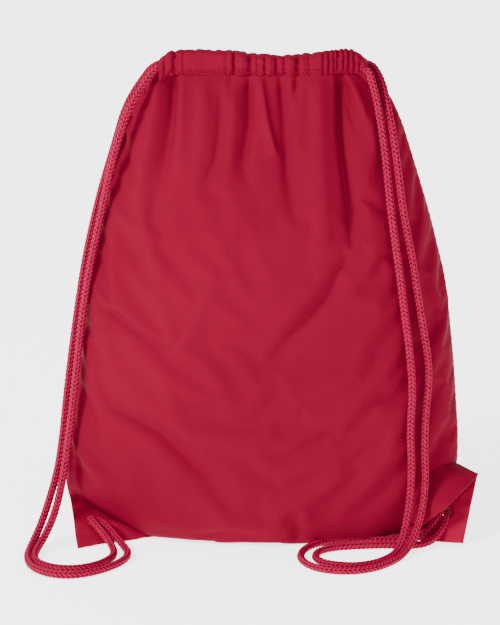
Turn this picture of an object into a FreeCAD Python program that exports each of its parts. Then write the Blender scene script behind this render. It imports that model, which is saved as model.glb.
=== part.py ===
import FreeCAD, Part
import math
import os

# Drawstring backpack, filled and standing on its base.
# Millimetres. +X is to the right seen from the front, the front faces -Y, +Z is up.
# The origin is on the floor, at the middle of the bag.

Vector = FreeCAD.Vector

# ---- driving dimensions ----
CLOTH = 1.6               # wall of a panel
SPLIT = 0.5               # gap between the front and the back panel along the sides
BODY_HEIGHT = 397.0       # height at which the panels run into their casings
# height, middle, half width, half depth and squareness of the filled body, from the floor up
BODY_SECTIONS = [
    (0.0, -1.0, 118.0, 24.0, 2.4),
    (8.0, -1.0, 144.0, 38.0, 2.3),
    (30.0, -1.0, 157.0, 49.0, 2.2),
    (80.0, -1.0, 160.0, 56.0, 2.1),
    (150.0, -1.5, 155.5, 61.0, 2.0),
    (220.0, -2.0, 148.5, 63.0, 2.0),
    (280.0, -3.5, 135.0, 60.0, 2.0),
    (325.0, -4.0, 122.0, 50.0, 2.0),
    (360.0, -4.0, 111.0, 35.0, 2.1),
    (383.0, -4.0, 99.0, 19.0, 2.6),
    (BODY_HEIGHT, -4.0, 88.0, 10.5, 4.5),
]
SECTION_POINTS = 28

HEM_X = -4.0              # middle of the casings
HEM_LENGTH = 170.0
HEM_HEIGHT = 23.0
HEM_THICKNESS = 9.0
HEM_WALL = 1.0
HEM_FLOOR = 2.0           # cloth left above and below the casing's hollow
HEM_OFFSET = 9.5          # from the middle plane to the middle of a casing
CROSSOVER = 17.0          # length at each end where the cord can cross between casings

CORD = 6.0                # cord diameter
LEFT_CORD_Z = 413.5       # the left cord's runs lie above the right cord's runs
RIGHT_CORD_Z = 404.5
STRAP_IN = 27.0           # a strap starts this far inside its casing

TAB_THICKNESS = 2.4
TAB_TUCK = 4.0            # how far a tab reaches into the body's corner seam
HOLE_R = 7.4
EYELET_R = 10.2
EYELET_HOLE_R = 6.6
EYELET_THICKNESS = 3.8
KNOT_R = 8.4
TAIL_LENGTH = 17.0

TAPE_WIDTH = 7.0
TAPE_THICKNESS = 1.8
TAPE_CLEAR = 0.4

SEAM_INSET = 0.8          # from a corner seam to its line of stitches
STITCH = 2.4              # length of one stitch
STITCH_PITCH = 4.0
STITCH_R = 0.35

# Corner seams: where each one leaves the side of the body and where it meets the base (x, z).
LEFT_CORNER = ((-166.0, 31.0), (-99.0, 1.0))
RIGHT_CORNER = ((163.0, 46.0), (108.0, 0.0))

# Corner tabs: side end of the seam, outer corner, base end of the seam, and the eyelet's share
# of each of the three.
LEFT_TAB = (Vector(-173, -8, 28), Vector(-158, -50, 1.8), Vector(-100, -23, 3.5))
LEFT_EYELET_SHARES = (0.44, 0.26, 0.30)
LEFT_KNOT = Vector(-149.5, -10.5, 9.0)
RIGHT_TAB = (Vector(176.5, -15, 55), Vector(165, -38, 1.8), Vector(110, -14, 2.4))
RIGHT_EYELET_SHARES = (0.45, 0.25, 0.30)
RIGHT_KNOT = Vector(158, -11, 20.5)

# Free cords, from inside the casing to the knot behind the tab.
LEFT_FRONT_ROUTE = [
    (-62, -9.5, 413.5), (-91, -9.5, 413.5), (-103, -17, 390), (-115, -25, 366), (-124, -26, 337),
    (-131, -23, 308), (-137, -21, 278), (-145, -20, 243), (-152, -20, 202), (-158, -20, 160),
    (-163, -21, 120), (-167, -25, 84), (-171, -32, 53), (-177, -42, 28), (-184, -54, 11),
    (-190, -69, 4), (-190, -86, 3), (-180, -100, 3), (-164, -107, 3), (-147, -104, 3),
    (-134, -92, 3), (-127, -77, 3), (-128, -61, 4), (-134, -49, 9), (-142.5, -38, 15.5),
    (-149.5, -27, 19.5), (-150.5, -16.5, 10),
]
LEFT_BACK_ROUTE = [
    (-62, 9.5, 413.5), (-91, 9.5, 413.5), (-105, 3, 390), (-117, -7, 366), (-125, -12, 337),
    (-134, -12, 308), (-142, -11, 278), (-150.5, -11, 240), (-157, -11, 200), (-163, -11, 158),
    (-168, -12, 118), (-171, -15, 88), (-175, -22, 61), (-182, -32, 37), (-189, -44, 18),
    (-196, -59, 6), (-199, -80, 3), (-194, -103, 3), (-181, -119, 3), (-163, -125, 3),
    (-145, -118, 3), (-129, -104, 3), (-118, -87, 3), (-115, -70, 3), (-120, -56, 4.5),
    (-127, -45, 9), (-134, -36, 14), (-142.5, -27, 17.5), (-146.5, -17.5, 9.8),
]
RIGHT_FRONT_ROUTE = [
    (54, -9.5, 404.5), (85, -9.5, 404.5), (89, -19, 382), (91, -28, 358), (95, -36, 331),
    (98, -42, 300), (102, -47, 268), (107, -49, 236), (111, -48, 204), (116, -47, 170),
    (119, -46, 134), (117, -45, 102), (119, -45, 70), (118, -47, 42), (114, -55, 20),
    (108, -67, 7), (99, -80, 3), (86, -94, 3), (71, -101, 3), (54, -99, 3),
    (42, -91, 3), (38, -78, 3), (42, -65, 3), (55, -56, 3), (77, -52, 3),
    (99, -50, 3), (119, -53, 3), (134, -48, 4), (144, -39, 9), (149.5, -32.5, 17),
    (153.5, -27.5, 26), (156.5, -17, 21.5),
]
RIGHT_BACK_ROUTE = [
    (54, 9.5, 404.5), (88, 9.5, 404.5), (98, -4, 388), (99, -20, 367), (102, -32, 342),
    (106, -39, 312), (110, -42, 282), (117, -43, 249), (122, -43, 216), (128, -41, 182),
    (133, -39, 150), (130, -40, 117), (129, -41, 84), (131, -42, 54), (127, -49, 27),
    (119, -61, 9), (111, -75, 3), (100, -93, 3), (86, -107, 3), (68, -114, 3),
    (49, -112, 3), (34, -102, 3), (26, -84, 3), (28, -64, 3), (38, -48, 3),
    (55, -39, 3), (78, -37, 3), (101, -38, 3), (119, -40, 3.5), (132, -37, 9),
    (142, -31, 20), (150.5, -23.5, 30), (155.5, -13.5, 25),
]


# ---- shared helpers ----
def save(node, shape):
    shape.exportStep("parts/%s.step" % node)


def section_wire(z, middle, half_width, half_depth, squareness):
    """A closed superellipse at height z."""
    power = 2.0 / squareness
    points = []
    for step in range(SECTION_POINTS):
        angle = 2 * math.pi * (step + 0.5) / SECTION_POINTS
        c, s = math.cos(angle), math.sin(angle)
        x = middle + half_width * math.copysign(abs(c) ** power, c)
        y = half_depth * math.copysign(abs(s) ** power, s)
        points.append(Vector(x, y, z))
    curve = Part.BSplineCurve()
    curve.interpolate(points, PeriodicFlag=True)
    return Part.Wire(curve.toShape())


def corner_block(corner, inset):
    """The space outside a corner seam, to be cut from the body; inset moves it inwards."""
    (side_x, side_z), (base_x, base_z) = corner
    outwards = math.copysign(1.0, side_x)
    run = math.hypot(side_x - base_x, side_z - base_z)
    normal = Vector(outwards * (side_z - base_z) / run, 0, -abs(side_x - base_x) / run)
    along = Vector(side_x - base_x, 0, side_z - base_z) / run
    middle = Vector((side_x + base_x) / 2, -150, (side_z + base_z) / 2) - normal * inset
    reach = 120.0
    outline = [
        middle - along * reach,
        middle + along * reach,
        middle + along * reach + normal * reach,
        middle - along * reach + normal * reach,
    ]
    face = Part.Face(Part.makePolygon(outline + outline[:1]))
    return face.extrude(Vector(0, 300, 0))


def body_form(inset, top=BODY_HEIGHT):
    """The filled body as a solid, moved inwards by inset on every side but the top."""
    wires = []
    for z, middle, half_width, half_depth, squareness in BODY_SECTIONS:
        height = top if z == BODY_HEIGHT else z
        wires.append(section_wire(height, middle, half_width - inset, half_depth - inset, squareness))
    form = Part.makeLoft(wires, True, False)
    form = form.common(box((-300, -200, inset), (300, 200, top)))
    form = form.cut(corner_block(LEFT_CORNER, inset))
    return form.cut(corner_block(RIGHT_CORNER, inset))


def box(low, high):
    return Part.makeBox(high[0] - low[0], high[1] - low[1], high[2] - low[2], Vector(*low))


def rounded_bar(centre_y, centre_z, width, height, radius, x_low, x_high):
    """A bar along X whose section is a rectangle with round corners."""
    bar = box((x_low, centre_y - width / 2, centre_z - height / 2),
              (x_high, centre_y + width / 2, centre_z + height / 2))
    edges = [edge for edge in bar.Edges if abs(edge.tangentAt(edge.FirstParameter).x) > 0.9]
    return bar.makeFillet(radius, edges)


def rounded_path(points):
    """Straight runs joined by tangent arcs, each as large as its two runs allow."""
    points = [Vector(*point) for point in points]
    edges = []
    radii = []
    start = points[0]
    for before, corner, after in zip(points, points[1:], points[2:]):
        incoming = corner - before
        outgoing = after - corner
        shorter = min(incoming.Length, outgoing.Length)
        turn = incoming.getAngle(outgoing)
        cut = 0.45 * shorter
        radii.append(cut / math.tan(turn / 2))
        incoming.normalize()
        outgoing.normalize()
        arc_start = corner - incoming * cut
        arc_end = corner + outgoing * cut
        inwards = outgoing - incoming
        inwards.normalize()
        depth = radii[-1] * (1 / math.cos(turn / 2) - 1)
        edges.append(Part.LineSegment(start, arc_start).toShape())
        edges.append(Part.Arc(arc_start, corner + inwards * depth, arc_end).toShape())
        start = arc_end
    edges.append(Part.LineSegment(start, points[-1]).toShape())
    return Part.Wire(edges), radii


def cord_tube(name, points):
    """A cord of round section along a rounded path, with its radii and volume printed."""
    path, radii = rounded_path(points)
    first = path.Edges[0]
    circle = Part.Circle(first.valueAt(first.FirstParameter), first.tangentAt(first.FirstParameter),
                         CORD / 2)
    tube = path.makePipeShell([Part.Wire(circle.toShape())], True, False)
    section = math.pi * CORD ** 2 / 4
    print(name, "length", round(path.Length), "volume ratio",
          round(tube.Volume / (section * path.Length), 4), "valid", tube.isValid(),
          "radii", [round(radius) for radius in radii])
    return tube


def stitch_row(start, end, outwards):
    """Separate short stitches along a line, half sunk into the cloth."""
    line = end - start
    count = int(line.Length / STITCH_PITCH)
    line.normalize()
    stitches = []
    for index in range(count):
        at = start + line * ((index + 0.5) * STITCH_PITCH - STITCH / 2) + outwards * (STITCH_R + 0.05)
        stitches.append(Part.makeCylinder(STITCH_R, STITCH, at, line))
    return stitches


# ---- body ----
def make_panels():
    shell = body_form(0.0).cut(body_form(CLOTH, BODY_HEIGHT + 0.001))
    front_half = box((-300, -200, -10), (300, -SPLIT / 2, 500))
    back_half = box((-300, SPLIT / 2, -10), (300, 200, 500))
    save("front_panel", shell.common(front_half))
    save("back_panel", shell.common(back_half))


def make_tapes():
    """Bound seam allowances inside the front panel: one up each side, one along the base."""
    outer = body_form(CLOTH + TAPE_CLEAR)
    inner = body_form(CLOTH + TAPE_CLEAR + TAPE_THICKNESS)
    shell = outer.cut(inner)
    tape_low = -SPLIT / 2 - 1 - TAPE_WIDTH
    tape_high = -SPLIT / 2 - 1
    side_top = 388.0
    save("left_seam_tape", shell.common(box((-200, tape_low, 70), (-60, tape_high, side_top))))
    save("right_seam_tape", shell.common(box((60, tape_low, 70), (200, tape_high, side_top))))
    save("base_seam_tape", shell.common(box((-95, tape_low, 0), (100, tape_high, 12))))


# ---- casings ----
def hem_middle_z():
    return BODY_HEIGHT + HEM_HEIGHT / 2


def make_hem(node, side):
    """A flat tube of cloth, open at both ends; side is -1 for the front and 1 for the back."""
    low, high = HEM_X - HEM_LENGTH / 2, HEM_X + HEM_LENGTH / 2
    outer = rounded_bar(side * HEM_OFFSET, hem_middle_z(), HEM_THICKNESS, HEM_HEIGHT, 3.2, low, high)
    hollow = rounded_bar(side * HEM_OFFSET, hem_middle_z(), HEM_THICKNESS - 2 * HEM_WALL,
                       HEM_HEIGHT - 2 * HEM_FLOOR, 2.4, low - 5, high + 5)
    hem = outer.cut(hollow)
    window_low = HEM_OFFSET - HEM_THICKNESS
    window_high = HEM_OFFSET - HEM_THICKNESS / 2 + HEM_WALL + 1.5
    y_low, y_high = sorted((side * window_low, side * window_high))
    for x_low, x_high in ((low - 1, low + CROSSOVER), (high - CROSSOVER, high + 1)):
        window = box((x_low, y_low, BODY_HEIGHT + HEM_FLOOR + 1),
                     (x_high, y_high, BODY_HEIGHT + HEM_HEIGHT - HEM_FLOOR - 1))
        hem = hem.cut(window)
    save(node, hem)


def make_hem_stitching(node, side):
    """Two rows of stitches that close the casing along its lower edge."""
    low = Vector(HEM_X - HEM_LENGTH / 2 + 4, side * (HEM_OFFSET + HEM_THICKNESS / 2), 0)
    high = Vector(HEM_X + HEM_LENGTH / 2 - 4, low.y, 0)
    outwards = Vector(0, side, 0)
    stitches = []
    for height in (BODY_HEIGHT + 3.6, BODY_HEIGHT + 5.6):
        up = Vector(0, 0, height)
        stitches += stitch_row(low + up, high + up, outwards)
    save(node, Part.makeCompound(stitches))


# ---- cords held in the casings ----
def straight_run(node, x_low, x_high, y, z):
    save(node, Part.makeCylinder(CORD / 2, x_high - x_low, Vector(x_low, y, z), Vector(1, 0, 0)))


def cord_turn(node, x, z, outwards):
    """Half a turn that carries a cord from the front casing into the back casing."""
    start = Vector(x, -HEM_OFFSET, z)
    middle = Vector(x + outwards * HEM_OFFSET, 0, z)
    end = Vector(x, HEM_OFFSET, z)
    path = Part.Wire([Part.Arc(start, middle, end).toShape()])
    circle = Part.Circle(start, Vector(1, 0, 0), CORD / 2)
    save(node, path.makePipeShell([Part.Wire(circle.toShape())], True, False))


def make_held_cords():
    low, high = HEM_X - HEM_LENGTH / 2, HEM_X + HEM_LENGTH / 2
    turn_in = HEM_OFFSET + CORD / 2 + 0.5
    left_turn_x, right_turn_x = low + turn_in, high - turn_in
    for name, side in (("front", -1), ("back", 1)):
        straight_run("left_cord_%s_run" % name, low + STRAP_IN, right_turn_x,
                     side * HEM_OFFSET, LEFT_CORD_Z)
        straight_run("right_cord_%s_run" % name, left_turn_x, high - STRAP_IN,
                     side * HEM_OFFSET, RIGHT_CORD_Z)
    cord_turn("left_cord_turn", right_turn_x, LEFT_CORD_Z, 1)
    cord_turn("right_cord_turn", left_turn_x, RIGHT_CORD_Z, -1)


# ---- corner tabs ----
def tab_normal(corners):
    """Unit normal of a tab, pointing to the front."""
    normal = (corners[1] - corners[0]).cross(corners[2] - corners[0])
    normal.normalize()
    return normal if normal.y < 0 else normal * -1


def eyelet_centre(corners, shares):
    return corners[0] * shares[0] + corners[1] * shares[1] + corners[2] * shares[2]


def plate(outline, normal, thickness):
    face = Part.Face(Part.makePolygon(outline + outline[:1]))
    face.translate(normal * (-thickness / 2))
    return face.extrude(normal * thickness)


def make_tab(side, corners, shares, knot):
    normal = tab_normal(corners)
    centre = eyelet_centre(corners, shares)
    seam = corners[2] - corners[0]
    seam.normalize()
    tuck = seam.cross(normal)
    if tuck.dot(corners[1] - corners[0]) > 0:
        tuck = tuck * -1
    outline = [corners[0], corners[1], corners[2],
               corners[2] + tuck * TAB_TUCK - seam * TAB_TUCK,
               corners[0] + tuck * TAB_TUCK + seam * TAB_TUCK]
    tab = plate(outline, normal, TAB_THICKNESS)
    hole = Part.makeCylinder(HOLE_R, 20, centre - normal * 10, normal)
    save(side + "_corner_tab", tab.cut(hole))

    ring = Part.makeCylinder(EYELET_R, EYELET_THICKNESS, centre - normal * EYELET_THICKNESS / 2, normal)
    ring = ring.cut(Part.makeCylinder(EYELET_HOLE_R, 20, centre - normal * 10, normal))
    groove = Part.makeCylinder(EYELET_R + 5, TAB_THICKNESS, centre - normal * TAB_THICKNESS / 2, normal)
    groove = groove.cut(Part.makeCylinder(HOLE_R, 20, centre - normal * 10, normal))
    save(side + "_eyelet", ring.cut(groove))

    edge = normal * (TAB_THICKNESS / 2)
    inset = tuck * SEAM_INSET * -1
    rows = stitch_row(corners[0] + inset + edge + seam * 9, corners[2] + inset + edge - seam * 12, normal)
    save(side + "_tab_stitching", Part.makeCompound(rows))

    ball = Part.makeSphere(KNOT_R, knot)
    tails = []
    for spread in (-0.5, 0.5):
        tails.append(Part.makeCylinder(CORD / 2, TAIL_LENGTH, knot, Vector(spread, 1, 0.12)))
    save(side + "_knot", ball.fuse(tails).removeSplitter())


def make_straps():
    save("left_strap_front", cord_tube("left_strap_front", LEFT_FRONT_ROUTE))
    save("left_strap_back", cord_tube("left_strap_back", LEFT_BACK_ROUTE))
    save("right_strap_front", cord_tube("right_strap_front", RIGHT_FRONT_ROUTE))
    save("right_strap_back", cord_tube("right_strap_back", RIGHT_BACK_ROUTE))


def main():
    os.makedirs("parts", exist_ok=True)
    make_panels()
    make_tapes()
    for name, side in (("front", -1), ("back", 1)):
        make_hem(name + "_hem", side)
        make_hem_stitching(name + "_hem_stitching", side)
    make_held_cords()
    make_tab("left", LEFT_TAB, LEFT_EYELET_SHARES, LEFT_KNOT)
    make_tab("right", RIGHT_TAB, RIGHT_EYELET_SHARES, RIGHT_KNOT)
    make_straps()


main()
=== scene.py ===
import math

import bmesh
import bpy
import numpy as np
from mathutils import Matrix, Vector, noise


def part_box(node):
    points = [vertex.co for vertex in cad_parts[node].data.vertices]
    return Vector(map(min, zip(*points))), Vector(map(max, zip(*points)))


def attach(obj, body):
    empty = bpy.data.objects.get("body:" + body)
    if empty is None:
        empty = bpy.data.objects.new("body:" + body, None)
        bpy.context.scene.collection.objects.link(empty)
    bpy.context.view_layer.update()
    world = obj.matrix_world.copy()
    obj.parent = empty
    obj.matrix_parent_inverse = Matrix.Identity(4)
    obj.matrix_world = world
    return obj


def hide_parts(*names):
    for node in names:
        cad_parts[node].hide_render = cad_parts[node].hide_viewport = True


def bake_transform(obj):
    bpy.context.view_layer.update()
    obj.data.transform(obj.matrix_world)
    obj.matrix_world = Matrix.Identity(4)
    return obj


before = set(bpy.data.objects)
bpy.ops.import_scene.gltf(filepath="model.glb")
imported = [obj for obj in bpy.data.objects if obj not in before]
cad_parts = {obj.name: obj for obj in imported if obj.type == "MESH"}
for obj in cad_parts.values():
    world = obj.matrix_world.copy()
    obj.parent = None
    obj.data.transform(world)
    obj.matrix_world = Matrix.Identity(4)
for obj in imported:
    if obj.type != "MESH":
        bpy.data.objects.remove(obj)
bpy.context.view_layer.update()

# Lengths are in metres unless a name or comment says otherwise; MM turns millimetres into metres.
MM = 0.001

# ---- sizes taken from the frame ----
FRONT_LOW, FRONT_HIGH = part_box("front_panel")
HEM_LOW, HEM_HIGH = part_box("front_hem")
SEAM_DROP = 0.0025        # how far the gathered cloth pulls the casings' seam down
BODY_HEIGHT = HEM_LOW.z - SEAM_DROP
HALF_WIDTH = (FRONT_HIGH.x - FRONT_LOW.x) / 2
HALF_DEPTH = -FRONT_LOW.y

CORD_DIAMETER = 0.006

# The filled body from the floor up: share of the height, middle of the section, share of the
# half width, share of the half depth, squareness.
SECTIONS = [
    (0.000, -0.0010, 0.737, 0.600, 2.4),
    (0.020, -0.0010, 0.900, 0.720, 2.3),
    (0.076, -0.0010, 0.981, 0.800, 2.2),
    (0.202, -0.0010, 1.000, 0.889, 2.1),
    (0.378, -0.0015, 0.972, 0.968, 2.0),
    (0.554, -0.0020, 0.928, 1.000, 2.0),
    (0.705, -0.0035, 0.844, 0.952, 2.0),
    (0.819, -0.0040, 0.762, 0.794, 2.0),
    (0.907, -0.0040, 0.694, 0.556, 2.1),
    (0.965, -0.0040, 0.619, 0.302, 2.6),
    (1.000, -0.0040, 0.550, 0.222, 3.0),
]

# Routes of the four shoulder cords, in millimetres, from inside the casing to the knot.
ROUTES = {
    "left_strap_front": [
        (-62, -9.2, 403), (-89, -9.5, 403.5), (-103, -17, 384.5), (-115, -25, 365),
        (-124, -26, 337), (-131, -23, 308), (-137, -21, 278), (-145, -20, 243), (-152, -20, 202),
        (-157.3, -20.5, 160), (-161.8, -21.5, 120), (-166.4, -25, 84), (-171, -32, 53), (-177, -42, 28),
        (-185.5, -54, 11), (-192.5, -69, 4), (-192.5, -87, 3), (-182, -102, 3), (-164, -109, 3),
        (-147, -104, 3), (-134, -92, 3), (-127, -77, 3), (-128, -61, 4), (-134, -49, 9),
        (-142.5, -38, 15.5), (-149.5, -27, 19.5), (-150.5, -16.5, 10),
    ],
    "left_strap_back": [
        (-62, 9.2, 402.5), (-90, 9, 402), (-105, 3, 384), (-117, -7, 365), (-125, -12, 337),
        (-134, -12, 308), (-142, -11, 278), (-150.5, -11, 240), (-157, -11, 200), (-163, -11, 158),
        (-168, -12, 118), (-171, -15, 88), (-175, -22, 61), (-182, -32, 37), (-189, -44, 18),
        (-196, -59, 6), (-199, -80, 3), (-194, -103, 3), (-181, -119, 3), (-163, -125, 3),
        (-145, -118, 3), (-129, -104, 3), (-118, -87, 3), (-115, -70, 3), (-120, -56, 4.5),
        (-127, -45, 9), (-134, -36, 14), (-142.5, -27, 17.5), (-146.5, -17.5, 9.8),
    ],
    "right_strap_front": [
        (54, -9.2, 398), (78, -10.3, 404), (86, -20, 384), (91, -28, 358), (95, -36, 331),
        (98, -42, 300), (102, -47, 268), (107, -49, 236), (111, -48, 204), (116, -47, 170),
        (119, -46, 134), (117, -45, 102), (119, -45, 70), (118, -47, 42), (114, -55, 20),
        (109, -68, 7), (100.5, -81.5, 3), (87, -95.5, 3), (71, -102, 3), (54, -99, 3), (42, -91, 3),
        (38, -78, 3), (42, -65, 3), (55, -56, 3), (77, -52, 3), (99, -50, 3), (119, -53, 3),
        (134, -48, 4), (143, -39, 9), (147.5, -32.5, 16), (150.5, -27.5, 22.5), (153, -17, 19.5),
    ],
    "right_strap_back": [
        (54, 9.2, 397), (81, 8, 402.5), (92, -6, 390), (97, -20, 368), (102, -32, 342),
        (106, -39, 312), (110, -42, 282), (117, -43, 249), (122, -43, 216), (128, -41, 182),
        (133, -39, 150), (130, -40, 117), (129, -41, 84), (131, -42, 54), (127, -49, 27),
        (119, -61, 9), (111, -75, 3), (100, -93, 3), (86, -107, 3), (68, -114, 3), (49, -112, 3),
        (34, -102, 3), (26, -84, 3), (28, -64, 3), (38, -48, 3), (55, -39, 3), (78, -37, 3),
        (101, -38, 3), (119, -40, 3.5), (131, -37, 9), (140, -31, 18.5), (147, -24.5, 27.5),
        (152, -14, 23),
    ],
}


# ---- camera, light and floor ----
def give(thing, **values):
    """Sets several properties of a thing at once."""
    for key, value in values.items():
        setattr(thing, key, value)
    return thing


def link_object(name, data):
    made = bpy.data.objects.new(name, data)
    bpy.context.scene.collection.objects.link(made)
    return made


def look_at(thing, target):
    thing.rotation_euler = (Vector(target) - thing.location).to_track_quat("-Z", "Y").to_euler()


def add_camera():
    target = Vector((-0.015, 0, 0.1895))
    elevation = math.radians(16)
    distance = 3.0
    data = give(bpy.data.cameras.new("camera"), sensor_width=36, lens=208.1)
    camera = link_object("camera", data)
    camera.location = target + Vector((0, -math.cos(elevation), math.sin(elevation))) * distance
    look_at(camera, target)
    bpy.context.scene.camera = camera


def add_area_light(name, place, size, power):
    data = give(bpy.data.lights.new(name, "AREA"), shape="DISK", size=size, energy=power)
    light = link_object(name, data)
    light.location = place
    look_at(light, (0, 0, 0.2))


def add_stage():
    bpy.ops.mesh.primitive_plane_add(size=16, location=(0, 0, -0.0002))
    floor = bpy.context.object
    floor.name = "studio_floor"
    white = (1, 1, 1, 1)
    floor.data.materials.append(Nodes("studio_white").finish(
        Base_Color=(0.93, 0.93, 0.93, 1), Roughness=0.9, Emission_Color=white, Emission_Strength=2.4))

    world = bpy.data.worlds.new("studio")
    bpy.context.scene.world = world
    world.use_nodes = True
    background = world.node_tree.nodes["Background"]
    background.inputs["Color"].default_value = white
    background.inputs["Strength"].default_value = 1.3
    add_area_light("key", (-2.1, -1.7, 2.1), size=0.8, power=175)
    add_area_light("fill", (1.9, -1.9, 1.0), size=1.6, power=6)
    add_area_light("back_fill", (0.6, 2.4, 1.8), size=1.6, power=14)


# ---- mesh and line helpers ----
def link_mesh(name, vertices, faces, material):
    mesh = bpy.data.meshes.new(name)
    mesh.from_pydata([tuple(v) for v in vertices], [], [tuple(f) for f in faces])
    mesh.update()
    mesh.materials.append(material)
    mesh.polygons.foreach_set("use_smooth", [True] * len(mesh.polygons))
    return link_object(name, mesh)


def mesh_points(mesh):
    return np.array([vertex.co for vertex in mesh.vertices])


def cells(values):
    """The four corner values of each cell of a grid, cell by cell."""
    corners = [values[:-1, :-1], values[:-1, 1:], values[1:, 1:], values[1:, :-1]]
    return np.stack(corners, -1).reshape(-1, 4)


def grid_faces(rows, columns, around=False, ring=False, first=0):
    """Quads of a grid of points stored row by row. Around joins the last column to the first,
    and ring the last row to the first."""
    ids = np.arange(first, first + rows * columns).reshape(rows, columns)
    ids = np.pad(ids, ((0, int(ring)), (0, int(around))), mode="wrap")
    return cells(ids).tolist()


def edit_mesh(thing, action):
    mesh = bmesh.new()
    mesh.from_mesh(thing.data)
    action(mesh)
    mesh.to_mesh(thing.data)
    mesh.free()


def merge_points(mesh):
    """Merges points that lie on each other and removes loose ones."""
    bmesh.ops.remove_doubles(mesh, verts=mesh.verts, dist=0.00005)
    bmesh.ops.delete(mesh, geom=[v for v in mesh.verts if not v.link_faces], context="VERTS")


def turn_faces_out(mesh):
    bmesh.ops.recalc_face_normals(mesh, faces=mesh.faces)


def apply_modifiers(thing):
    graph = bpy.context.evaluated_depsgraph_get()
    mesh = bpy.data.meshes.new_from_object(thing.evaluated_get(graph))
    thing.modifiers.clear()
    thing.data = mesh


def smooth_step(low, high, value):
    t = np.clip((value - low) / (high - low), 0, 1)
    return t * t * (3 - 2 * t)


def unit(vectors):
    """Vectors of the same directions and of length 1."""
    return vectors / np.linalg.norm(vectors, axis=-1, keepdims=True)


def run_lengths(points):
    """Distance along a line of points, from its first point to each."""
    return np.concatenate([[0], np.cumsum(np.linalg.norm(np.diff(points, axis=0), axis=1))])


def points_at(points, along, wanted):
    """Points of a line at given distances along it."""
    return np.stack([np.interp(wanted, along, points[:, axis]) for axis in range(3)], -1)


def top_edge(top_line, x, window_size, highest=1.0):
    """Height of a casing's top edge at each x, its corners eased over a number of points."""
    tops = np.array(top_line, float)
    top = np.minimum(np.interp(x / MM, tops[:, 0], tops[:, 1]) * MM, highest)
    window = np.hanning(window_size)
    padded = np.pad(top, window_size // 2, mode="edge")
    return np.convolve(padded, window / window.sum(), mode="valid")


# ---- materials ----
NYLON_TONES = ((0.118, 0.0020, 0.0122), (0.135, 0.0026, 0.0146), (0.148, 0.0030, 0.0172))


class Nodes:
    """Shorthand for building a material's node tree."""

    def __init__(self, name):
        self.material = bpy.data.materials.new(name)
        self.material.use_nodes = True
        self.tree = self.material.node_tree
        self.shader = self.tree.nodes["Principled BSDF"]
        self.place = self.add("ShaderNodeTexCoord").outputs["Object"]

    def put(self, socket, value):
        if isinstance(value, bpy.types.NodeSocket):
            self.tree.links.new(value, socket)
        else:
            socket.default_value = value

    def add(self, kind, values=None, **settings):
        node = give(self.tree.nodes.new(kind), **settings)
        for key, value in (values or {}).items():
            self.put(node.inputs[key], value)
        return node

    def math(self, operation, first, second=0.0):
        return self.add("ShaderNodeMath", {0: first, 1: second}, operation=operation).outputs[0]

    def wave(self, axis, step):
        """A sine along an object axis, one wave to a step."""
        parts = self.add("ShaderNodeSeparateXYZ", {0: self.place})
        return self.math("SINE", self.math("MULTIPLY", parts.outputs[axis], 2 * math.pi / step))

    def noise(self, scale, detail=2.0):
        values = {"Vector": self.place, "Scale": scale, "Detail": detail}
        return self.add("ShaderNodeTexNoise", values).outputs[0]

    def mix(self, share, first, second):
        return self.add("ShaderNodeMix", {0: share, 6: first, 7: second}, data_type="RGBA").outputs[2]

    def tinge(self, colour, pattern, most, other):
        """A colour with some of another in it where the pattern is high."""
        return self.mix(self.math("MULTIPLY", pattern, most), colour, other)

    def ramp(self, value, low, high):
        values = {"Value": value, "From Min": low, "From Max": high}
        return self.add("ShaderNodeMapRange", values).outputs[0]

    def bump(self, height, strength, distance, under=None):
        values = {"Height": height, "Strength": strength, "Distance": distance}
        if under:
            values["Normal"] = under
        return self.add("ShaderNodeBump", values).outputs[0]

    def finish(self, **inputs):
        for key, value in inputs.items():
            self.put(self.shader.inputs[key.replace("_", " ")], value)
        return self.material


def nylon_material(name, lightness=1.0):
    """Thin taffeta-like nylon: a fine plain weave, faint slubs and soft crinkles."""
    made = Nodes(name)
    # Scaling the tones above 1 paints the cloth lighter, as painted light.
    dark, light, thread_tone = [tuple(part * lightness for part in tone) + (1,) for tone in NYLON_TONES]
    weave = made.math("MULTIPLY", made.wave("X", 0.0007), made.wave("Z", 0.0007))
    slubs = made.noise(1100.0, 3.0)
    colour = made.mix(made.ramp(made.noise(9.0, 3.0), 0.3, 0.7), dark, light)
    colour = made.tinge(colour, slubs, 0.2, thread_tone)
    height = made.math("ADD", made.math("MULTIPLY", weave, 0.25), slubs)
    fine = made.bump(height, 0.10, 0.0002)
    crinkles = made.bump(made.noise(70.0, 4.0), 0.16, 0.0012, under=fine)
    rough = made.math("ADD", made.math("MULTIPLY", slubs, 0.10), 0.50)
    return made.finish(Base_Color=colour, Roughness=rough, Normal=crinkles,
                       Specular_IOR_Level=0.012, Specular_Tint=(1, 0.35, 0.42, 1))


def cord_material():
    """Braided polyester, slightly glossy, with painted shade between the yarns and a painted highlight on
    their crowns.
    """
    made = Nodes("crimson_braid")
    height = made.add("ShaderNodeAttribute", attribute_name="yarn").outputs["Fac"]
    fibres = made.noise(2200.0)
    # The yarn height paints the colour near black in the grooves (painted shade) and lighter on the crowns
    # (painted highlight).
    colour = made.mix(made.ramp(height, 0.30, 0.92), (0.022, 0.0, 0.002, 1), (0.30, 0.0016, 0.034, 1))
    colour = made.tinge(colour, fibres, 0.25, (0.34, 0.006, 0.05, 1))
    colour = made.tinge(colour, made.noise(30.0), 0.2, (0.23, 0.001, 0.018, 1))
    return made.finish(Base_Color=colour, Roughness=0.55, Normal=made.bump(fibres, 0.3, 0.0002),
                       Sheen_Weight=0.02, Sheen_Tint=(1, 0.3, 0.4, 1),
                       Specular_IOR_Level=0.08, Specular_Tint=(1, 0.5, 0.55, 1))


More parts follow.
